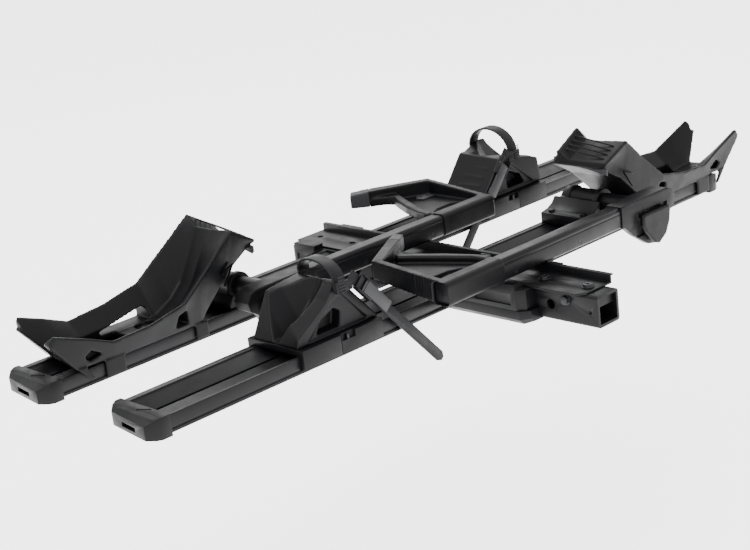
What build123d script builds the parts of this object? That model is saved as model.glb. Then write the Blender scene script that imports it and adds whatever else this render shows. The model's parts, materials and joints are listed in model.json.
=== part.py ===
"""Two-bike platform rack for a 2 in hitch receiver, built as separate pieces (mm, +Z up).

Everything is laid out from the spine tube's open mouth (y = 0), the spine's centre plane (x = 0) and
the tube's underside (z = 0). Each piece is then moved so the row origin is the hitch pin hole's centre.
The near tray's arm, hook and wheel cup are built once and mirrored for the far tray.
"""
import math
import os

from build123d import *

os.makedirs("parts", exist_ok=True)

# --- spine ---
TUBE = 50.8             # 2 in receiver stinger, outside width
TUBE_WALL = 5.0
SPINE_L = 652.0
PIN_Y = 91.0            # hitch pin hole from the mouth
PIN_R = 8.0             # 5/8 in pin
CROSS_Y = 60.0          # anti-rattle cross bolt
CROSS_Z = 38.0
CROSS_R = 4.0
SMALL_Y = 14.6          # small side hole by the mouth
SMALL_R = 3.0
CH_W = 74.0             # top channel width
CH_T = 3.0
CH_LIP = 11.6           # lip height above the channel plate
CH_Y0 = 20.0
CH_Y1 = 657.0
CH_HOLES = (36.0, 121.0, 549.0, 629.0)
CH_HOLE_R = 5.25

# --- trays ---
RAIL_W = 103.7
RAIL_H = 26.5
RAIL_Z = 24.0           # underside of the rails
RAIL_X0 = -700.7        # tray ends, caps included
RAIL_X1 = 623.2
CAP_L = 38.0
TRAY_Y = 277.0          # near tray centre
TRAY_GAP = 251.4        # tray spacing
SADDLE_X = 60.0         # half width of the cast saddles
SLOT = 6.0              # rail T-slot mouth

# --- wheel arm ---
ARM_Y = 156.0           # arm tube centre line
ARM_Z = 85.0
ARM_W = 29.4
ARM_H = 34.4
PIVOT_X = 303.0
PIVOT_Z = 80.0
STUB_R = 11.0           # knuckle's pivot stub
RUN = 0.05              # radial running clearance

# --- rear wheel cup ---
CUP_GAP = 0.5           # clamp to rail clearance
STRAP_W = 22.0
STRAP_T = 3.2
STRAP_FALL = 48.0       # slope of the strap's run down the near side, degrees
STRAP_OUT = 62.0        # strap run's outer face from the tray centre


def box(x0, x1, y0, y1, z0, z1):
    b = Box(x1 - x0, y1 - y0, z1 - z0)
    return b.moved(Location(((x0 + x1) / 2, (y0 + y1) / 2, (z0 + z1) / 2)))


def prism(points, axis, lo, hi):
    """Extrude a closed outline along x, y or z; outlines are (y,z), (x,z) or (x,y)."""
    lift = {"x": lambda p: (lo, p[0], p[1]), "y": lambda p: (p[0], lo, p[1]), "z": lambda p: (p[0], p[1], lo)}[axis]
    way = {"x": (1, 0, 0), "y": (0, 1, 0), "z": (0, 0, 1)}[axis]
    face = make_face(Polyline(*[lift(p) for p in points], close=True))
    return extrude(face, amount=hi - lo, dir=way)


def rod(x, y, z, r, length, axis):
    """A cylinder from (x, y, z) along +axis."""
    turn = {"x": (0, 90, 0), "y": (-90, 0, 0), "z": (0, 0, 0)}[axis]
    c = Cylinder(r, length, align=(Align.CENTER, Align.CENTER, Align.MIN))
    return c.moved(Location((x, y, z), turn))


def hexagon(x, y, z, flats, height, axis):
    turn = {"x": (0, 90, 0), "y": (-90, 0, 0), "z": (0, 0, 0)}[axis]
    h = extrude(RegularPolygon(flats / 2, 6, major_radius=False), amount=height)
    return h.moved(Location((x, y, z), turn))


def loft_rings(rings):
    """Straight-sided skin through outlines that all have the same number of corners."""
    wires = [make_face(Polyline(*r, close=True)) for r in rings]
    return loft(wires, ruled=True)


def soften(obj, radius, pick):
    """Fillet the picked edges, or leave them square where the radius will not fit."""
    try:
        out = fillet(pick(obj), radius)
        return out if out.is_valid else obj
    except Exception:
        return obj


def octagon(grow):
    """Arm section: a tall rectangle with rounded corners, larger ones on top."""
    w = ARM_W / 2 + grow
    h = ARM_H / 2 + grow
    pts = []
    for sy, sz, rad, start in ((1, 1, 7.0, 0), (-1, 1, 7.0, 90), (-1, -1, 4.0, 180), (1, -1, 4.0, 270)):
        rad = max(rad + grow, 1.0)
        for i in range(5):
            a = math.radians(start + 22.5 * i)
            pts.append((ARM_Y + sy * (w - rad) + rad * math.cos(a), ARM_Z + sz * (h - rad) + rad * math.sin(a)))
    return pts


# ------------------------------------------------------------------ spine
def spine_tube():
    t = box(-TUBE / 2, TUBE / 2, 0, SPINE_L, 0, TUBE)
    t = soften(t, 5.0, lambda o: o.edges().filter_by(Axis.Y))
    bore = box(-TUBE / 2 + TUBE_WALL, TUBE / 2 - TUBE_WALL, -1, SPINE_L + 1, TUBE_WALL, TUBE - TUBE_WALL)
    t -= bore
    t -= rod(-40, PIN_Y, TUBE / 2, PIN_R, 80, "x")
    t -= rod(-40, CROSS_Y, CROSS_Z, CROSS_R + 0.2, 80, "x")
    t -= rod(-40, SMALL_Y, 24, SMALL_R, 30, "x")
    for y in CH_HOLES:
        t -= rod(0, y, TUBE - 12, CH_HOLE_R, 20, "z")
    return t


def spine_top_channel():
    z = TUBE
    x = CH_W / 2
    c = 14.0
    outline = [(-x + c, CH_Y0), (x, CH_Y0), (x, CH_Y1), (-x + 8, CH_Y1), (-x + 8, CH_Y1 - 10), (-x, CH_Y1 - 10),
               (-x, CH_Y0 + c)]
    ch = prism(outline, "z", z, z + CH_T)
    # upstanding lip with a small outward flange along one side only
    ch += box(x - CH_T, x, CH_Y0, CH_Y1, z, z + CH_T + CH_LIP)
    ch += box(x - CH_T, x + 5, CH_Y0, CH_Y1, z + CH_T + CH_LIP - 2.5, z + CH_T + CH_LIP)
    for y in CH_HOLES:
        ch -= rod(0, y, z - 1, CH_HOLE_R, 10, "z")
    return ch


def channel_bolt(y):
    """Button-head bolt through the channel and the tube's top wall, with a nut inside."""
    top = TUBE + CH_T
    b = rod(0, y, top, 9.5, 1.5, "z") + rod(0, y, top + 1.5, 8.0, 4.0, "z")
    b -= hexagon(0, y, top + 3.0, 5.0, 5.0, "z")
    b += rod(0, y, TUBE - 16, CH_HOLE_R - 0.25, 16 + CH_T + 1, "z")
    b += hexagon(0, y, TUBE - TUBE_WALL - 7.2, 15.0, 7.0, "z")
    return b


def hitch_cross_bolt():
    b = hexagon(-TUBE / 2 - 6.5, CROSS_Y, CROSS_Z, 13.0, 5.0, "x")
    b += rod(-TUBE / 2 - 1.5, CROSS_Y, CROSS_Z, 9.0, 1.5, "x")
    b += rod(-TUBE / 2 - 2, CROSS_Y, CROSS_Z, CROSS_R, TUBE + 14, "x")
    return b


def hitch_cross_nut():
    n = hexagon(TUBE / 2 + 0.05, CROSS_Y, CROSS_Z, 13.0, 6.5, "x")
    return n - rod(TUBE / 2 - 1, CROSS_Y, CROSS_Z, CROSS_R + 0.02, 12, "x")


def anti_rattle_wedge():
    w = TUBE / 2 - TUBE_WALL - 0.4
    outline = [(6, TUBE - TUBE_WALL - 0.3), (6, 30), (20, 26), (72, 26), (80, TUBE - TUBE_WALL - 0.3)]
    b = prism(outline, "x", -w, w)
    b -= rod(-40, CROSS_Y, CROSS_Z, CROSS_R + 0.2, 80, "x")
    b -= rod(0, 36, 20, 12.0, 40, "z")
    b -= rod(-30, SMALL_Y, 24, SMALL_R + 1.0, 60, "x")
    return b


def spine_tail_plug():
    w = TUBE / 2
    b = box(-w, w, SPINE_L + 0.02, SPINE_L + 6, 0, TUBE)
    b = soften(b, 5.0, lambda o: o.edges().filter_by(Axis.Y))
    i = w - TUBE_WALL - 0.3
    return b + box(-i, i, SPINE_L - 18, SPINE_L + 2, TUBE_WALL + 0.3, TUBE - TUBE_WALL - 0.3)


# ------------------------------------------------------------------ saddles
SADDLES = {"near": (118.0, 352.0), "far": (455.0, 646.0)}


def saddle(which, side):
    """Cast bracket against one side of the tube that takes the rails' inner ends."""
    y0, y1 = SADDLES[which]
    x = SADDLE_X
    tray = TRAY_Y if which == "near" else TRAY_Y + TRAY_GAP
    split = 18.0
    plan = [(-x + 10, y0), (x - 10, y0), (x, y0 + 14), (x, y1 - 14), (x - 10, y1), (-x + 10, y1),
            (-x, y1 - 14), (-x, y0 + 14)]
    s = prism(plan, "z", split, 50.6)
    shoulder = (y0 + 14, tray - RAIL_W / 2 - 1) if which == "near" else (tray + RAIL_W / 2 + 1, y1 - 14)
    ledge = box(39, x, shoulder[0], shoulder[1], 50, 61)
    s += ledge if side > 0 else mirror(ledge, about=Plane.YZ)
    # rail socket: the rail's inner end stops short of the tube
    lo, hi = sorted((side * 42.0, side * (x + 1)))
    s -= box(lo, hi, tray - RAIL_W / 2 - 0.15, tray + RAIL_W / 2 + 0.15, RAIL_Z - 0.15, 60)
    # shallow pocket on the longer shoulder beside the rail
    lo, hi = sorted((side * (x - 2.5), side * (x + 1)))
    if which == "near":
        s -= box(lo, hi, y0 + 24, tray - RAIL_W / 2 - 9, 26, 43)
    else:
        s -= box(lo, hi, tray + RAIL_W / 2 + 9, y1 - 20, 26, 43)
    lo, hi = sorted((side * (TUBE / 2 + 0.1), side * (x + 5)))
    return s & box(lo, hi, y0 - 5, y1 + 5, 0, 60)


def saddle_tub(which):
    """Lower half: a tub around the tube's underside, bolted up into the saddle."""
    y0, y1 = SADDLES[which]
    x = SADDLE_X
    split = 17.9
    rise = 8.0
    section = [(-x, split), (-x, 4), (-x + 9, -5), (x - 9, -5), (x, 4), (x, split)]
    t = loft_rings([
        [(-x + 12, y0 - 6, split), (-x + 12, y0 - 6, 6), (-x + 20, y0 - 6, -1), (x - 20, y0 - 6, -1),
         (x - 12, y0 - 6, 6), (x - 12, y0 - 6, split)],
        [(-x, y0 + rise, split), (-x, y0 + rise, 4), (-x + 9, y0 + rise, -5), (x - 9, y0 + rise, -5),
         (x, y0 + rise, 4), (x, y0 + rise, split)]])
    t += loft_rings([[(p[0], y, p[1]) for p in section] for y in (y0 + rise, y1 - rise)])
    t += loft_rings([
        [(p[0], y1 - rise, p[1]) for p in section],
        [(-x + 12, y1, split), (-x + 12, y1, 6), (-x + 20, y1, -1), (x - 20, y1, -1),
         (x - 12, y1, 6), (x - 12, y1, split)]])
    t -= box(-TUBE / 2 - 0.1, TUBE / 2 + 0.1, y0 - 9, y1 + 9, -0.1, 30)
    for side in (-1, 1):
        for y in (y0 + 40, y1 - 40):
            t -= rod(side * 44, y, -8, 7.5, 7, "z")
            t -= rod(side * 44, y, -8, 4.3, 40, "z")
    return t


def saddle_bolts():
    out = []
    for y0, y1 in SADDLES.values():
        for side in (-1, 1):
            for y in (y0 + 40, y1 - 40):
                b = rod(side * 44, y, -4.5, 7.0, 3.4, "z") - hexagon(side * 44, y, -5, 5.0, 2.5, "z")
                b += rod(side * 44, y, -1.5, 4.0, 19.3, "z")
                out.append(b)
    return Compound(children=out)


# ------------------------------------------------------------------ trays
def rail(x0, x1):
    """Hollow extrusion: shallow trough on top, T-slot down the middle, side grooves."""
    w = RAIL_W / 2
    h = RAIL_H
    outer = [(-w, 0), (w, 0), (w, 5), (w - 1.6, 5), (w - 1.6, 8.6), (w, 8.6), (w, h), (w - 12, h),
             (w - 13, h - 2.5), (SLOT / 2, 17), (SLOT / 2, 14), (8, 14), (8, 6), (-8, 6), (-8, 14),
             (-SLOT / 2, 14), (-SLOT / 2, 17), (-w + 6, 17), (-w + 5, h), (-w, h), (-w, 8.6),
             (-w + 1.6, 8.6), (-w + 1.6, 5), (-w, 5)]
    left = [(-w + 4, 2.5), (-10.5, 2.5), (-10.5, 14.5), (-w + 4, 14.5)]
    right = [(10.5, 2.5), (w - 4, 2.5), (w - 4, 20), (10.5, 15.8)]
    shift = lambda pts: [(TRAY_Y + p[0], RAIL_Z + p[1]) for p in pts]
    r = prism(shift(outer), "x", x0, x1)
    r -= prism(shift(left), "x", x0 - 1, x1 + 1)
    r -= prism(shift(right), "x", x0 - 1, x1 + 1)
    return r


def end_cap(end):
    """Moulded cap over a rail end: nose slopes down, wide slot in the nose, raised triangle on top."""
    w = RAIL_W / 2 + 3
    x = RAIL_X0 if end < 0 else RAIL_X1
    inn = x - end * CAP_L
    tip = x - end * 9.0
    z0 = RAIL_Z - 3
    z1 = RAIL_Z + RAIL_H + 2.5
    y0, y1 = TRAY_Y - w, TRAY_Y + w

    def ring(xa, xb, inset, zt):
        return [(xa, y0 + inset, z0 + inset / 3), (xb, y1 - inset, z0 + inset / 3), (xb, y1 - inset, zt),
                (xa, y0 + inset, zt)]
    steps = [ring(inn, inn, 0, z1), ring(tip - end * 12, tip - end * 20, 0, z1),
             ring(tip - end * 3, tip - end * 12, 3, z1 - 2.5), ring(x, tip - end * 3, 11, z1 - 8)]
    c = loft_rings(steps[:2]) + loft_rings(steps[1:3]) + loft_rings(steps[2:])
    lo, hi = sorted((inn - end * 1, x - end * 20))
    c -= box(lo, hi, TRAY_Y - RAIL_W / 2 - 0.1, TRAY_Y + RAIL_W / 2 + 0.1, RAIL_Z - 0.1, RAIL_Z + RAIL_H + 0.1)
    lo, hi = sorted((x + end, x - end * 14))
    c -= box(lo, hi, TRAY_Y - 18, TRAY_Y + 18, RAIL_Z + 6, RAIL_Z + 13)
    tri = [(x - end * 34, TRAY_Y - 20), (x - end * 34, TRAY_Y + 20), (x - end * 23, TRAY_Y)]
    return c + prism(tri, "z", z1 - 0.5, z1 + 1.0)


# ------------------------------------------------------------------ front wheel cradle
CRADLE = (
    # x at the rail top, lean, near rim y and z, far rim y and z, seat depth, base half width, base z, rim width
    (281.0, 0.0, 212.0, 154.0, 318.0, 166.0, 0.6, 52.0, 144.0, 8.0),
    (331.5, 0.0, 203.0, 183.0, 313.0, 196.5, 4.0, 55.0, 116.0, 6.0),
    (352.0, 0.0, 205.0, 166.0, 316.0, 180.0, 22.0, 55.0, 98.0, 5.0),
    (378.0, 0.0, 207.0, 143.0, 322.0, 157.0, 42.0, 55.0, 74.0, 4.0),
    (400.0, 0.0, 207.5, 125.0, 326.0, 139.0, 44.0, 55.0, 51.0, 4.0),
    (434.0, 0.0, 208.0, 98.0, 330.0, 112.0, 34.0, 55.0, 51.0, 4.0),
    (500.0, 0.0, 211.0, 84.0, 331.0, 98.0, 25.0, 55.0, 51.0, 4.0),
    (564.0, 0.12, 215.0, 80.0, 330.0, 93.0, 22.0, 55.0, 51.0, 4.0),
    (585.0, 0.45, 215.0, 96.0, 325.0, 112.0, 36.0, 55.0, 55.0, 5.0),
    (621.0, 0.85, 214.0, 132.0, 321.0, 142.0, 70.0, 55.0, 55.0, 6.0),
)
WING_SKEW = 0.18        # the wings' open end runs this much further out per mm towards the near side
SEAT_Z = 52.0           # height at which a leaning station has its stated x


def wheel_cradle():
    """Moulded seat for the front wheel: high ribbed back, low middle, two raised wings, rail straps."""
    rings = []
    for x, lean, yn, zn, yf, zf, deep, half, base, rim in CRADLE:
        mid = min(zn, zf) - deep
        flat = [(yn, zn), (yn + 1, zn - 5), (TRAY_Y - half, base), (TRAY_Y + half, base), (yf - 1, zf - 5),
                (yf, zf), (yf - rim, zf), (TRAY_Y + 14, mid), (TRAY_Y - 14, mid), (yn + rim, zn)]
        skew = WING_SKEW if x > 600 else 0.0
        rings.append([(x + lean * (z - SEAT_Z) - skew * (y - TRAY_Y), y, z) for y, z in flat])
    body = None
    for a, b in zip(rings[:-1], rings[1:]):
        piece = loft_rings([a, b])
        body = piece if body is None else body + piece
    # window through the floor and the round well at the backrest's foot
    body -= box(506, 572, TRAY_Y - 26, TRAY_Y + 26, 40, 90)
    body -= rod(464, TRAY_Y, 53.5, 17, 60, "z")
    body -= rod(464, TRAY_Y, 45, 3.2, 20, "z")
    # side windows behind the low rim, and the latch slot by the wing
    body -= prism([(424, 60), (430, 84), (446, 80), (450, 60)], "y", 190, 250)
    body -= prism([(586, 66), (609, 62), (618, 70), (606, 78)], "y", 190, 232)
    # long window in the far wall, over the rail's edge
    body -= prism([(534, 66), (527, 60), (441, 60), (442, 78), (448, 81)], "y", 292, 345)
    # blunt rounded ends on both wings
    body -= prism([(654, 160), (654, 125), (666, 120), (674, 110), (677, 99), (730, 99), (730, 160)],
                  "y", 190, TRAY_Y)
    body -= prism([(642, 170), (642, 140), (655, 134), (661, 124), (659, 112), (730, 112), (730, 170)],
                  "y", TRAY_Y, 350)
    # skirts and hold-down straps down both rail sides
    y0, y1 = TRAY_Y - RAIL_W / 2 - 0.4, TRAY_Y + RAIL_W / 2 + 0.4
    for lo, hi, low in ((548, 584, 26.0), (388, 412, 28.0)):
        body += box(lo, hi, y0 - 4.5, y0, low, 54)
        body += box(lo, hi, y1, y1 + 4.5, low, 54)
    body += prism([(612, 33), (605, 33), (618, 56), (633, 56)], "y", y0 - 4.5, y0 - 0.6)
    return body


def cradle_bolt():
    """T-bolt holding the cradle down into the rail's slot."""
    z = RAIL_Z
    b = box(456, 472, TRAY_Y - 7.5, TRAY_Y + 7.5, z + 9.2, z + 13.2)
    b += rod(464, TRAY_Y, z + 12, 2.9, 18.0, "z")
    return b + rod(464, TRAY_Y, z + 29.52, 7, 4.5, "z")


# ------------------------------------------------------------------ fold pivot bracket
def pivot_bracket():
    y0, y1 = 238.0, 316.0
    top = RAIL_Z + RAIL_H + 0.05
    side = [(240, top), (240, 68), (257, 71), (270, 77), (279, 87), (PIVOT_X, PIVOT_Z + 10), (326, 72), (334, 60),
            (334, top)]
    b = prism(side, "y", 229, 327) + rod(PIVOT_X, y0, PIVOT_Z, 19.5, y1 - y0, "y")
    for y in (y0, y1 - 18):
        b += rod(PIVOT_X, y, PIVOT_Z, 22.5, 9, "y")
    b -= rod(PIVOT_X, y0 - 1, PIVOT_Z, STUB_R + RUN, 120, "y")
    b -= rod(PIVOT_X, y1, PIVOT_Z, 24, 40, "y")
    b -= rod(PIVOT_X, 200, PIVOT_Z, 24, y0 - 200, "y")
    for y in (TRAY_Y - 34, TRAY_Y + 34):
        b += rod(250, y, 69, 5.5, 4, "z")
    return b


# ------------------------------------------------------------------ wheel arm (near one; far one is its mirror)
def knuckle():
    y0, y1 = 139.6, 172.4
    side = [(224, 67.5), (224, 103.4), (240, 104.4), (348, 104.4), (362, 99), (370, 86), (366, 72), (352, 64),
            (342, 48), (330, 26), (312, 18), (292, 22), (256, 46), (232, 66)]
    k = prism(side, "y", y0 + 6, y1)
    k = k & box(200, 400, y0, y1, 66, 110)
    k += prism([p for p in side[:8]] + [(342, 60), (240, 64)], "y", y0, y0 + 7)
    k += prism(side, "y", y0 + 2.5, y0 + 13)
    k = soften(k, 3.0, lambda o: o.edges().group_by(Axis.Z)[-1].filter_by(Axis.X))
    k -= prism(octagon(0.05), "x", 200, 262)
    k += rod(PIVOT_X, y1 - 1, PIVOT_Z, 16.0, 236 - y1 + 1, "y")
    k += rod(PIVOT_X, y1, PIVOT_Z, STUB_R, 318 - y1, "y")
    # seat for the paddle
    k -= box(263, 346, y0 - 1, y0 + 5, 40, 83)
    return k


def pivot_bolt():
    b = rod(PIVOT_X, 318.05, PIVOT_Z, 15, 2.5, "y")
    b += rod(PIVOT_X, 320.5, PIVOT_Z, 9, 5, "y")
    return b - hexagon(PIVOT_X, 322.5, PIVOT_Z, 8, 5, "y")


def arm_tube():
    t = prism(octagon(0), "x", -188, 261)
    t -= prism(octagon(-3), "x", -189, 262)
    return t - box(-189, 262, ARM_Y - ARM_W / 2 - 1, ARM_Y - ARM_W / 2 + 0.9, ARM_Z + 6.5, ARM_Z + 8.5)


def arm_plug():
    p = prism(octagon(-3.1), "x", -189, -170)
    return p + prism(octagon(-0.5), "x", -191, -188.02)


def release_paddle():
    """Palm paddle: hinged along its top edge in the knuckle's near face."""
    front = [(267, 60), (267, 75), (271, 79), (338, 79), (343, 75), (339, 52), (328, 32), (308, 20), (296, 24),
             (274, 48)]
    p = prism(front, "y", 129.0, 137.0)
    p = soften(p, 3.0, lambda o: o.edges().group_by(Axis.Y)[0])
    p += box(274, 336, 133, 141.6, 71, 79)
    p += rod(270, 140.5, 75, 3.5, 68, "x")
    return p


SLEEVE_X = (-196.0, -68.0)


def hook():
    """Sliding tyre hook: sleeve on the arm tube, ribbed outer bar, tip bar and rounded tyre rim."""
    x0, x1 = SLEEVE_X
    s = prism(octagon(1.9), "x", x0, x1)
    # ribbed outer bar, rising to the far corner
    bar = loft_rings([
        [(-196, 150, 67), (-184, 150, 67), (-184, 150, 104), (-196, 150, 104)],
        [(-196, 296, 87), (-184, 290, 87), (-184, 290, 117), (-196, 296, 117)]])
    # tip bar back towards the arm side
    tip = loft_rings([
        [(-196, 296, 87), (-196, 296, 117), (-182, 284, 117), (-182, 284, 87)],
        [(-104, 351, 87), (-104, 351, 117), (-90, 338, 115), (-90, 338, 87)]])
    # inner rim that bears on the tyre
    rim = [(-60, 173), (-66, 197), (-84, 244), (-104, 284), (-115, 303), (-110, 316), (-90, 338), (-104, 351),
           (-128, 326), (-134, 304), (-120, 280), (-100, 238), (-80, 195), (-78, 168), (-62, 168)]
    lip = prism(rim, "z", 88, 104)
    lip = soften(lip, 5.0, lambda o: o.edges().group_by(Axis.Z)[-1])
    web = prism([(-190, 168), (-72, 168), (-78, 195), (-98, 238), (-122, 282), (-130, 304), (-122, 330),
                 (-190, 296)], "z", 84, 92)
    h = s + bar + tip + lip + web
    # finger window beside the sleeve
    h -= prism([(-170, 178), (-98, 178), (-102, 196), (-122, 206), (-156, 208), (-170, 200)], "z", 60, 120)
    h -= prism(octagon(0.4), "x", x0 - 1, x1 + 20)
    for i in range(9):
        y = 158 + 6 * i
        h -= box(-198, -194.9, y, y + 2.4, 60, 125)
    return h


def hook_tip_cap():
    """Pale end cap on the tip bar."""
    c = loft_rings([
        [(-103.9, 351.1, 87), (-103.9, 351.1, 117), (-89.9, 338.1, 115), (-89.9, 338.1, 87)],
        [(-74, 368, 89), (-74, 368, 116), (-62, 358, 112), (-62, 358, 89)]])
    return c


def hook_insert():
    """Pale cover plate with a screw on the web by the tip."""
    p = prism([(-178, 264), (-150, 264), (-146, 278), (-158, 290), (-177, 282)], "z", 92.05, 95)
    return p + rod(-163, 275, 94.9, 4.5, 2.0, "z")


def release_trigger():
    """Finger trigger on a cross pin inside the window beside the sleeve."""
    t = box(-146, -124, 179.2, 182.8, 76, 91.5)
    t += prism([(182, 76), (197, 72), (197, 76), (182, 88)], "x", -146, -124)
    t -= rod(-150, 181, 89, 1.55, 30, "x")
    return t


def trigger_pin():
    return rod(-169.8, 181, 89, 1.5, 70.6, "x")


# ------------------------------------------------------------------ rear wheel cup (near one)
def cup_base():
    """Clamp that wraps the rail's sides and keys into its side grooves."""
    x0, x1 = -423.0, -262.0
    w = RAIL_W / 2 + CUP_GAP
    z1 = RAIL_Z + RAIL_H + CUP_GAP
    b = box(x0, x1, TRAY_Y - w - 8, TRAY_Y + w + 8, 30, 60)
    b -= box(x0 - 1, x1 + 1, TRAY_Y - w, TRAY_Y + w, 10, z1)
    b -= box(x0 + 24, x1 - 24, TRAY_Y - 30, TRAY_Y + 30, 40, 70)
    for side in (-1, 1):
        lo, hi = sorted((TRAY_Y + side * (w + 1), TRAY_Y + side * (w - 1.2)))
        b += box(x0, x1, lo, hi, RAIL_Z + 5.9, RAIL_Z + 7.9)
    # the split between the fixed and the clamping half, and the bolt's notch
    b -= box(-347.6, -346.4, TRAY_Y - w - 9, TRAY_Y - w - 5, 29, 61)
    b -= box(-345, -318, TRAY_Y - w - 9, TRAY_Y - w - 3, 50, 61)
    return b


def cup_bolt():
    y = TRAY_Y - RAIL_W / 2 - CUP_GAP - 5.6
    return rod(-332, y, 50.05, 2.3, 8, "z") - hexagon(-332, y, 56, 2.2, 4, "z")


def wheel_cup(low_side):
    """Wedge-shaped seat with a V trough, ribbed ramp on its spine side and side buttresses.

    low_side cuts the near wall down in a curve; otherwise both walls stay high.
    """
    z0 = 60.05
    if low_side:
        near = [(-258, z0), (-316, 126), (-330, 138), (-342, 135), (-360, 114), (-386, 97), (-421, 76), (-423, z0)]
        far = [(-258, z0), (-316, 130), (-324, 131), (-334, 130), (-350, 129), (-370, 127), (-386, 125), (-421, z0)]
    else:
        near = [(-258, z0), (-316, 127), (-330, 126), (-345, 123), (-370, 118), (-400, 111), (-417, 106), (-423, z0)]
        far = [(-258, z0), (-316, 130), (-330, 130), (-350, 138), (-374, 143), (-384, 141), (-412, 100), (-423, z0)]
    w = 50.0
    y0, y1 = TRAY_Y - w, TRAY_Y + w
    body = loft_rings([[(p[0], y0, p[1]) for p in near], [(p[0], y1, p[1]) for p in far]])
    # V trough, deep at the open end and shallow at the ridge
    floor = ((-432, 61), (-398, 64), (-366, 78), (-342, 100), (-326, 124), (-306, 160))
    for (xa, za), (xb, zb) in zip(floor[:-1], floor[1:]):
        ends = []
        for x, z in ((xa, za), (xb, zb)):
            ends.append([(x, TRAY_Y - 5, z), (x, TRAY_Y + 5, z), (x, y1 - 2.5, z + 62), (x, y1 - 2.5, z + 110),
                         (x, y0 + 2.5, z + 110), (x, y0 + 2.5, z + 62)])
        body -= loft_rings(ends)
    # side recesses and the five-sided window near the base
    recess = [(-402, 64), (-352, 106), (-334, 118), (-326, 116), (-280, 64)]
    body -= prism(recess, "y", y0 - 1, y0 + 4)
    body -= prism(recess, "y", y1 - 4, y1 + 1)
    window = [(-380, 68), (-369, 86), (-342, 98), (-330, 90), (-334, 68)]
    body -= prism(window, "y", y0 - 1, y0 + 22)
    # three ribs on the ramp
    for t in (0.35, 0.55, 0.75):
        x = -258 - 58 * t
        z = z0 + 66 * t
        body += prism([(x + 1.2, z - 1.4), (x - 1.4, z + 1.8), (x - 0.4, z + 2.6), (x + 2.0, z - 0.4)], "y",
                      y0 + 22, y1 - 30)
    return body


def ladder_strap(x_near, x_far, rise, run_x):
    """Toothed strap: anchored on the far wall, arched over, and out through the buckle to a long tail."""
    ry = STRAP_OUT - 6.0
    zc = 130.0
    half = STRAP_W / 2
    rings = []
    steps = 14
    for i in range(steps + 1):
        a = math.pi * i / steps
        x = x_far + (x_near - x_far) * i / steps
        cy, cz = math.cos(a), math.sin(a)
        rings.append([(x - half, TRAY_Y + ry * cy, zc + rise * cz), (x + half, TRAY_Y + ry * cy, zc + rise * cz),
                      (x + half, TRAY_Y + (ry - STRAP_T) * cy, zc + (rise - STRAP_T) * cz),
                      (x - half, TRAY_Y + (ry - STRAP_T) * cy, zc + (rise - STRAP_T) * cz)])
    strap = loft_rings(rings)
    strap += box(x_far - half, x_far + half, TRAY_Y + ry - STRAP_T, TRAY_Y + ry, 112, zc)
    strap += box(x_far - 8, x_far + 8, TRAY_Y + 50.02, TRAY_Y + ry, 119, 127)
    strap += box(x_near - half, x_near + half, TRAY_Y - STRAP_OUT, TRAY_Y - ry + STRAP_T, 122, zc + 3)
    strap += box(x_near - half, x_near + half + 8, TRAY_Y - STRAP_OUT, TRAY_Y - STRAP_OUT + STRAP_T, 122, 138)
    # flat run down the near side, slanting towards the spine
    c, s = math.cos(math.radians(STRAP_FALL)), math.sin(math.radians(STRAP_FALL))
    hw = half - 2.5
    pts = [(-96, -hw), (150, -hw), (158, -hw + 5), (158, hw - 5), (150, hw), (-96, hw)]
    run = [(run_x + a * c + b * s, 72 - a * s + b * c) for a, b in pts]
    return strap + prism(run, "y", TRAY_Y - STRAP_OUT, TRAY_Y - STRAP_OUT + STRAP_T)


def buckle_place(run_x):
    """Plane at the buckle: local x down the strap, local z towards the outside."""
    c, s = math.cos(math.radians(STRAP_FALL)), math.sin(math.radians(STRAP_FALL))
    return Plane(origin=(run_x - 80 * c, TRAY_Y - STRAP_OUT, 72 + 80 * s), x_dir=(c, 0, -s), z_dir=(0, -1, 0))


def buckle_frame(run_x):
    """Open frame the strap runs through, with two hinge cheeks."""
    pl = buckle_place(run_x)
    b = Box(34, 25, 3.5).moved(Location((18, 0, 1.8)))
    for side in (-1, 1):
        b += Box(34, 2.6, 11).moved(Location((18, side * 11.2, 3.6)))
    b -= Cylinder(1.9, 60, rotation=(90, 0, 0)).moved(Location((14, 0, 6.0)))
    return pl.location * b


def buckle_lever(run_x):
    """Pale over-centre lever on its hinge pin."""
    pl = buckle_place(run_x)
    b = Box(60, 18.5, 3.2).moved(Location((45, 0, 7.4)))
    b += Box(12, 18.5, 4.6).moved(Location((69, 0, 6.7)))
    b += Cylinder(1.85, 25, rotation=(90, 0, 0)).moved(Location((14, 0, 6.0)))
    b += Box(5, 18.5, 3).moved(Location((16.5, 0, 6.0)))
    return pl.location * b


# ------------------------------------------------------------------ place and write out
TO_ROW = Location((0, -PIN_Y, -TUBE / 2))


def far_side(obj):
    return mirror(obj, about=Plane.YZ).moved(Location((0, TRAY_GAP, 0)))


def write(node, obj):
    out = obj.moved(TO_ROW)
    export_step(out, f"parts/{node}.step")


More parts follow.
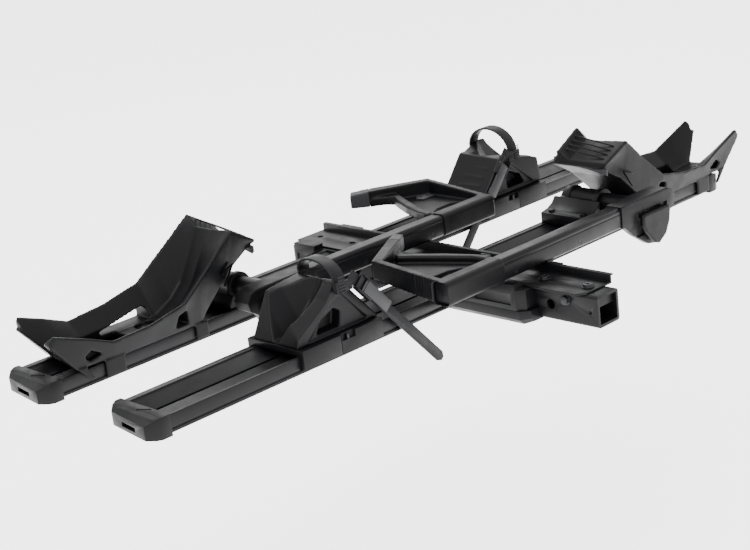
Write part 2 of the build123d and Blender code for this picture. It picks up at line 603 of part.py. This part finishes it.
def build_all():
    write("spine_tube", spine_tube())
    write("spine_top_channel", spine_top_channel())
    write("channel_bolts", Compound(children=[channel_bolt(y) for y in CH_HOLES[:2]]))
    write("hitch_cross_bolt", hitch_cross_bolt())
    write("hitch_cross_nut", hitch_cross_nut())
    write("anti_rattle_wedge", anti_rattle_wedge())
    write("spine_tail_plug", spine_tail_plug())
    for which in ("near", "far"):
        write(f"{which}_saddle_left", saddle(which, -1))
        write(f"{which}_saddle_right", saddle(which, 1))
        write(f"{which}_saddle_tub", saddle_tub(which))
    write("saddle_bolts", saddle_bolts())
    inner = SADDLE_X - 17.8
    for name, dy in (("near", 0.0), ("far", TRAY_GAP)):
        step = Location((0, dy, 0))
        write(f"{name}_rail_left", rail(RAIL_X0 + 20.2, -inner).moved(step))
        write(f"{name}_rail_right", rail(inner, RAIL_X1 - 20.2).moved(step))
        write(f"{name}_end_cap_left", end_cap(-1).moved(step))
        write(f"{name}_end_cap_right", end_cap(1).moved(step))
    mirrored = {
        "wheel_cradle": wheel_cradle(), "cradle_bolt": cradle_bolt(), "pivot_bracket": pivot_bracket(),
        "knuckle": knuckle(), "pivot_bolt": pivot_bolt(), "arm_tube": arm_tube(), "arm_plug": arm_plug(),
        "release_paddle": release_paddle(), "hook": hook(), "hook_tip_cap": hook_tip_cap(),
        "hook_insert": hook_insert(), "release_trigger": release_trigger(), "trigger_pin": trigger_pin(),
        "cup_base": cup_base(), "cup_bolt": cup_bolt(),
    }
    for name, obj in mirrored.items():
        write(f"near_{name}", obj)
        write(f"far_{name}", far_side(obj))
    write("near_wheel_cup", wheel_cup(True))
    write("far_wheel_cup", far_side(wheel_cup(False)))
    strap = {"near": (-334.0, -303.0, 32.0, -251.0), "far": (-345.0, -362.0, 44.0, -261.0)}
    for name, (x_near, x_far, rise, run_x) in strap.items():
        place = far_side if name == "far" else (lambda o: o)
        write(f"{name}_ladder_strap", place(ladder_strap(x_near, x_far, rise, run_x)))
        write(f"{name}_buckle_frame", place(buckle_frame(run_x)))
        write(f"{name}_buckle_lever", place(buckle_lever(run_x)))


build_all()
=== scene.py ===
import json
import math

import bmesh
import bpy
from mathutils import Matrix, Vector


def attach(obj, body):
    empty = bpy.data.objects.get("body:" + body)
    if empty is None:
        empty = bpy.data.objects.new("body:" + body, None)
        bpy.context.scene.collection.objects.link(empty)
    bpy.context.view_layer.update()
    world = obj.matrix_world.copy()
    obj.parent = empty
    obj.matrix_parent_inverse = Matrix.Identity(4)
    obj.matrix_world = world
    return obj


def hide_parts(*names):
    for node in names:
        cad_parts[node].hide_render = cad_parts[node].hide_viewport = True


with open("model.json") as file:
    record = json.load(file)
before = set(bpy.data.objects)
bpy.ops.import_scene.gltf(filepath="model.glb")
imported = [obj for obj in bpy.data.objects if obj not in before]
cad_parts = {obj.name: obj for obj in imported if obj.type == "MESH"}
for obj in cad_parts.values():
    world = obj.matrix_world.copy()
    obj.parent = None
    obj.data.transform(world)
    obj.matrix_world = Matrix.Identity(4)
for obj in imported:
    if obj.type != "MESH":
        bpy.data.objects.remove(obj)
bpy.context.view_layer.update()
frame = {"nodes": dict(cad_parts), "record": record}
RECORD = frame["record"]

MM = 0.001
SLOT_OF = {s["node"]: s["material_slot"] for s in RECORD["subparts"]}
BODY_OF = {n: b for b, ns in RECORD["behaviour"]["bodies"].items() for n in ns}

# ------------------------------------------------------------------ camera, light, floor
CAM_AZ, CAM_EL, CAM_ROLL = math.radians(43.01), math.radians(17.83), math.radians(6.65)
CAM_AT = Vector((-1.9278, -1.6560, 0.8858))
CAM_LENS = 83.57
FLOOR_HALF = 14.0       # metres
FLOOR_Z = -0.50
FLOOR_GLOW = 2.4        # the paper's own light, which keeps it pale around a black object
WORLD_STRENGTH = 1.6


def make_camera():
    """Long lens from the near left, a little above, with a slight roll."""
    level = math.cos(CAM_EL)
    forward = Vector((math.sin(CAM_AZ) * level, math.cos(CAM_AZ) * level, -math.sin(CAM_EL)))
    right = Vector((math.cos(CAM_AZ), -math.sin(CAM_AZ), 0.0))
    up = right.cross(forward)
    r = right * math.cos(CAM_ROLL) - up * math.sin(CAM_ROLL)
    u = up * math.cos(CAM_ROLL) + right * math.sin(CAM_ROLL)
    cam = bpy.data.objects.new("camera", bpy.data.cameras.new("camera"))
    cam.data.lens = CAM_LENS
    cam.data.sensor_width = 36.0
    cam.data.clip_end = 50.0
    m = Matrix((r, u, -forward)).transposed().to_4x4()
    m.translation = CAM_AT
    cam.matrix_world = m
    bpy.context.scene.collection.objects.link(cam)
    bpy.context.scene.camera = cam


def area_light(name, at, toward, size, power):
    light = bpy.data.lights.new(name, "AREA")
    light.shape = "RECTANGLE"
    light.size, light.size_y = size
    light.energy = power
    ob = bpy.data.objects.new(name, light)
    ob.location = at
    ob.rotation_euler = (Vector(toward) - Vector(at)).to_track_quat("-Z", "Y").to_euler()
    bpy.context.scene.collection.objects.link(ob)


def make_stage():
    bm = bmesh.new()
    bmesh.ops.create_grid(bm, x_segments=2, y_segments=2, size=FLOOR_HALF)
    me = bpy.data.meshes.new("floor")
    bm.to_mesh(me)
    bm.free()
    floor = bpy.data.objects.new("floor", me)
    floor.location = (0, 0, FLOOR_Z)
    bpy.context.scene.collection.objects.link(floor)
    mat = bpy.data.materials.new("floor_paper")
    mat.use_nodes = True
    b = mat.node_tree.nodes["Principled BSDF"]
    b.inputs["Base Color"].default_value = (0.92, 0.92, 0.92, 1)
    b.inputs["Roughness"].default_value = 0.9
    b.inputs["Specular IOR Level"].default_value = 0.1
    b.inputs["Emission Color"].default_value = (1, 1, 1, 1)
    b.inputs["Emission Strength"].default_value = FLOOR_GLOW
    me.materials.append(mat)
    world = bpy.data.worlds.new("studio")
    world.use_nodes = True
    world.node_tree.nodes["Background"].inputs["Color"].default_value = (1.0, 1.0, 1.0, 1)
    world.node_tree.nodes["Background"].inputs["Strength"].default_value = WORLD_STRENGTH
    bpy.context.scene.world = world
    area_light("key", (-1.6, -0.4, 3.2), (0, 0.2, 0), (2.0, 2.0), 75)
    area_light("front", (-1.4, -3.2, 1.0), (0, 0.2, 0), (2.4, 1.2), 16)
    area_light("back", (1.8, 3.0, 2.4), (0, 0.3, 0), (2.6, 1.6), 45)


make_camera()
make_stage()


# ------------------------------------------------------------------ materials
class Nodes:
    """Short helpers for wiring one material."""

    def __init__(self, name):
        self.mat = bpy.data.materials.new(name)
        self.mat.use_nodes = True
        self.t = self.mat.node_tree
        self.b = self.t.nodes["Principled BSDF"]
        self.coord = self.t.nodes.new("ShaderNodeTexCoord")

    def node(self, kind, **props):
        n = self.t.nodes.new(kind)
        for k, v in props.items():
            setattr(n, k, v)
        return n

    def link(self, a, b):
        self.t.links.new(a, b)

    def mapped(self, scale):
        m = self.node("ShaderNodeMapping")
        m.inputs["Scale"].default_value = scale
        self.link(self.coord.outputs["Object"], m.inputs["Vector"])
        return m.outputs["Vector"]

    def noise(self, scale, detail=3.0, stretch=None):
        n = self.node("ShaderNodeTexNoise")
        n.inputs["Scale"].default_value = scale
        n.inputs["Detail"].default_value = detail
        self.link(self.mapped(stretch) if stretch else self.coord.outputs["Object"], n.inputs["Vector"])
        return n.outputs["Fac"]

    def spread(self, fac, low, high, a=0.3, b=0.7):
        r = self.node("ShaderNodeMapRange")
        r.inputs["From Min"].default_value, r.inputs["From Max"].default_value = a, b
        r.inputs["To Min"].default_value, r.inputs["To Max"].default_value = low, high
        self.link(fac, r.inputs["Value"])
        return r.outputs["Result"]

    def mix(self, fac, a, b):
        m = self.node("ShaderNodeMix", data_type="RGBA")
        for socket, v in ((m.inputs["A"], a), (m.inputs["B"], b)):
            if isinstance(v, tuple):
                socket.default_value = (*v, 1)
            else:
                self.link(v, socket)
        self.link(fac, m.inputs["Factor"])
        return m.outputs["Result"]

    def bump(self, height, strength, distance):
        n = self.node("ShaderNodeBump")
        n.inputs["Strength"].default_value = strength
        n.inputs["Distance"].default_value = distance
        self.link(height, n.inputs["Height"])
        return n.outputs["Normal"]


def coated(name, colour, rough, grain, depth, metallic=0.0, stretch=None, patch=0.35, specular=0.5):
    """A coloured surface with fine grain, slow tone drift and uneven roughness."""
    m = Nodes(name)
    drift = m.noise(9.0, 4.0)
    fine = m.noise(grain, 2.0, stretch)
    light = tuple(min(1.0, c * (1 + patch)) for c in colour)
    dark = tuple(c * (1 - patch) for c in colour)
    tone = m.mix(m.spread(drift, 0, 1), dark, light)
    m.link(m.mix(m.spread(fine, 0.0, 0.25), tone, light), m.b.inputs["Base Color"])
    m.link(m.spread(m.noise(40.0, 5.0), rough - 0.06, rough + 0.08), m.b.inputs["Roughness"])
    m.link(m.bump(fine, 0.25, depth), m.b.inputs["Normal"])
    m.b.inputs["Metallic"].default_value = metallic
    m.b.inputs["Specular IOR Level"].default_value = specular
    return m.mat


MATS = {
    "powder_coat": coated("powder_coat", (0.0032, 0.0032, 0.0038), 0.40, 900, 0.0004, specular=0.16),
    "black_anodised": coated("black_anodised", (0.0034, 0.0034, 0.0041), 0.33, 500, 0.0002, 0.1,
                             (1, 40, 40), specular=0.18),
    "cast_black": coated("cast_black", (0.0028, 0.0028, 0.0034), 0.42, 700, 0.0006, specular=0.15),
    "black_plastic": coated("black_plastic", (0.0024, 0.0024, 0.0030), 0.40, 1400, 0.0004, specular=0.15),
    "strap_plastic": coated("strap_plastic", (0.0050, 0.0050, 0.0058), 0.46, 1200, 0.0004, specular=0.14),
    "grey_plastic": coated("grey_plastic", (0.030, 0.030, 0.032), 0.42, 1200, 0.0003, patch=0.12,
                           specular=0.2),
    "tyre_pad": coated("tyre_pad", (0.003, 0.003, 0.0035), 0.65, 900, 0.0006, specular=0.1),
    "zinc_steel": coated("zinc_steel", (0.06, 0.06, 0.064), 0.34, 600, 0.0002, 1.0, (1, 1, 30), 0.15),
    "black_bolt": coated("black_bolt", (0.018, 0.018, 0.020), 0.34, 700, 0.0003, 0.8),
}


# ------------------------------------------------------------------ shape helpers
SHARP_DEG = 35.0        # edges that turn more than this stay crisp


def finish_piece(ob, node, smooth=SHARP_DEG):
    """Link a piece, give it its node's body, slot and material, and hide the CAD node."""
    if ob.name not in bpy.context.scene.collection.objects:
        bpy.context.scene.collection.objects.link(ob)
    ob.data.materials.clear()
    ob.data.materials.append(MATS[SLOT_OF[node]])
    for p in ob.data.polygons:
        p.use_smooth = True
    ob.data.set_sharp_from_angle(angle=math.radians(smooth))
    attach(ob, BODY_OF[node])
    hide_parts(node)
    return ob


def applied(ob):
    """Replace the object's mesh by the result of its modifiers."""
    bpy.context.view_layer.update()
    done = bpy.data.meshes.new_from_object(ob.evaluated_get(bpy.context.evaluated_depsgraph_get()))
    ob.modifiers.clear()
    ob.data = done


def softened(node, width=0.8, segments=2, angle=30.0):
    """The node's own shape with rounded edges, as a new piece."""
    src = frame["nodes"][node]
    me = src.data.copy()
    ob = bpy.data.objects.new(node + "_skin", me)
    bpy.context.scene.collection.objects.link(ob)
    bm = bmesh.new()
    bm.from_mesh(me)
    bmesh.ops.remove_doubles(bm, verts=bm.verts, dist=1e-6)
    bmesh.ops.dissolve_limit(bm, angle_limit=math.radians(0.5), verts=bm.verts, edges=bm.edges)
    bm.to_mesh(me)
    bm.free()
    mod = ob.modifiers.new("round", "BEVEL")
    mod.width = width * MM
    mod.segments = segments
    mod.limit_method = "ANGLE"
    mod.angle_limit = math.radians(angle)
    mod.use_clamp_overlap = True
    applied(ob)
    return finish_piece(ob, node)


def moulded(node, voxel=1.5, rounds=9, keep=0.3):
    """The node's shape with every edge blended, as in a soft injection moulding."""
    me = frame["nodes"][node].data.copy()
    ob = bpy.data.objects.new(node + "_skin", me)
    bpy.context.scene.collection.objects.link(ob)
    remesh = ob.modifiers.new("skin", "REMESH")
    remesh.mode = "VOXEL"
    remesh.voxel_size = voxel * MM
    relax = ob.modifiers.new("relax", "SMOOTH")
    relax.factor = 0.5
    relax.iterations = rounds
    thin = ob.modifiers.new("thin", "DECIMATE")
    thin.ratio = keep
    applied(ob)
    return finish_piece(ob, node, smooth=50.0)


def piece(name, bm, body, slot, bevel=0.0):
    """A new detail from a bmesh in row-frame metres, riding on a body."""
    me = bpy.data.meshes.new(name)
    bm.to_mesh(me)
    bm.free()
    ob = bpy.data.objects.new(name, me)
    bpy.context.scene.collection.objects.link(ob)
    if bevel:
        mod = ob.modifiers.new("round", "BEVEL")
        mod.width = bevel * MM
        mod.segments = 2
        mod.limit_method = "ANGLE"
        applied(ob)
    ob.data.materials.append(MATS[slot])
    for p in ob.data.polygons:
        p.use_smooth = True
    ob.data.set_sharp_from_angle(angle=math.radians(SHARP_DEG))
    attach(ob, body)
    return ob


PIN_Y, PIN_Z, TRAY_GAP = 91.0, 25.4, 251.4


def place(side, x, y, z):
    """Layout position in mm (spine mouth frame, near side) to row-frame metres, mirrored for the far side."""
    if side == "far":
        x, y = -x, y + TRAY_GAP
    return Vector((x, y - PIN_Y, z - PIN_Z)) * MM


def loft_piece(name, side, rings, body, slot, bevel=0.0):
    """Closed skin through rings of layout points, capped at both ends."""
    bm = bmesh.new()
    rows = [[bm.verts.new(place(side, *p)) for p in ring] for ring in rings]
    n = len(rows[0])
    for a, b in zip(rows[:-1], rows[1:]):
        for i in range(n):
            bm.faces.new((a[i], a[(i + 1) % n], b[(i + 1) % n], b[i]))
    bm.faces.new(rows[0][::-1])
    bm.faces.new(rows[-1])
    bmesh.ops.recalc_face_normals(bm, faces=bm.faces)
    return piece(name, bm, body, slot, bevel)


def slab(name, side, lo, hi, body, slot, bevel=0.3):
    """A small bevelled block between two layout corners."""
    x0, y0, z0 = lo
    x1, y1, z1 = hi
    rings = [[(x, y0, z0), (x, y1, z0), (x, y1, z1), (x, y0, z1)] for x in (x0, x1)]
    return loft_piece(name, side, rings, body, slot, bevel)


def screw(name, side, x, y, z, r, body, slot, proud=0.15):
    """Flush socket screw facing the mouth, low enough for the hook sleeve to slide over it."""
    bm = bmesh.new()
    rows = []
    for radius, out, n in ((r, 0.0, 24), (r, proud, 24), (r * 0.5, proud, 24), (r * 0.46, 0.1, 24)):
        ring = []
        for i in range(n):
            a = math.tau * i / n
            flat = radius if radius > r * 0.6 else radius / math.cos((a % (math.pi / 3)) - math.pi / 6) * 0.92
            ring.append(bm.verts.new(place(side, x + flat * math.cos(a), y - out, z + flat * math.sin(a))))
        rows.append(ring)
    for a, b in zip(rows[:-1], rows[1:]):
        for i in range(len(a)):
            bm.faces.new((a[i], a[(i + 1) % len(a)], b[(i + 1) % len(a)], b[i]))
    bm.faces.new(rows[-1])
    bmesh.ops.recalc_face_normals(bm, faces=bm.faces)
    return piece(name, bm, body, slot)


EDGE = {"cast_black": 1.6, "black_plastic": 1.6, "grey_plastic": 1.0, "black_anodised": 0.6,
        "powder_coat": 0.8}
WIDE_EDGE = {"hook": 2.4, "knuckle": 2.2, "release_paddle": 1.2, "end_cap_left": 3.0, "end_cap_right": 3.0,
             "ladder_strap": 0.4, "buckle_frame": 0.5, "buckle_lever": 0.8, "hook_tip_cap": 2.5}
for name in sorted(frame["nodes"]):
    kind = name.split("_", 1)[1]
    if kind in ("wheel_cradle", "wheel_cup"):
        moulded(name)
    elif kind in ("hook", "release_paddle", "hook_tip_cap"):
        moulded(name, voxel=1.4, rounds=5)
    else:
        softened(name, WIDE_EDGE.get(kind, EDGE.get(SLOT_OF[name], 0.4)))

SCREW_XS = (-42.0, 116.5)
SCREW_Y, SCREW_Z, SCREW_R = 141.25, 77.0, 4.6


def arm_screws(side):
    """Two flush screws on the arm tube's face towards the mouth."""
    for i, x in enumerate(SCREW_XS):
        screw(f"{side}_arm_screw_{i}", side, x, SCREW_Y, SCREW_Z, SCREW_R, side + "_arm", "black_bolt")


def cradle_highlight_band(side, steps=12):
    """Painted highlight: a pale grey band under the cradle's rear lip, standing in for the sheen of light on
    its curved underside.
    """
    rings = []
    for i in range(steps + 1):
        t = i / steps
        y = 214 + 102 * t
        z = 143 + 12 * t + 3.0 * math.sin(math.pi * t)
        x = 283.5 - 2.0 * math.sin(math.pi * t)
        rings.append([(x, y, z), (x, y, z - 9), (x + 5, y, z - 12), (x + 5, y, z)])
    # grey plastic strip here is a painted highlight, not a separately coloured part
    loft_piece(f"{side}_cradle_highlight_band", side, rings, "frame", "grey_plastic", 0.8)


def back_ribs(side):
    """Four ribs across the cradle's back panel, which rises away from the lip."""
    for i in range(4):
        t = 0.2 + 0.18 * i
        x = 281 + 50.5 * t
        rings = []
        for y, lift in ((222, 0.0), (262, 5.5), (304, 10.5)):
            z = 154 + 29 * t + lift
            rings.append([(x - 1, y, z - 1.0), (x + 1, y, z - 1.0),
                          (x + 0.6, y, z + 1.2), (x - 0.6, y, z + 1.2)])
        loft_piece(f"{side}_back_rib_{i}", side, rings, "frame", "black_plastic", 0.3)


def side_lines(side):
    """Two thin raised lines meeting in a V on the cradle's side panel."""
    corner = (330, 128)
    half = 0.7
    for i, end in enumerate(((356, 118), (352, 98))):
        rings = [[(x, 212.0, z - half), (x, 212.0, z + half), (x, 216, z + half), (x, 216, z - half)]
                 for x, z in (corner, end)]
        loft_piece(f"{side}_side_line_{i}", side, rings, "frame", "black_plastic", 0.2)


def rim_end(side):
    """Pale end of the hook's tyre rim by the sleeve."""
    slab(f"{side}_rim_end", side, (-60.2, 176, 89), (-57.8, 194, 103), side + "_hook", "grey_plastic", 0.8)


def strap_teeth(side):
    """Short teeth on the foot of the strap's arch."""
    x = -342 if side == "near" else -354
    for i in range(6):
        z = 122 + 4.5 * i
        slab(f"{side}_tooth_{i}", side, (x, 214.2, z), (x + 14, 215.2, z + 2),
             side + "_cup", "strap_plastic", 0.2)


for side in ("near", "far"):
    arm_screws(side)
    cradle_highlight_band(side)
    back_ribs(side)
    side_lines(side)
    rim_end(side)
    strap_teeth(side)
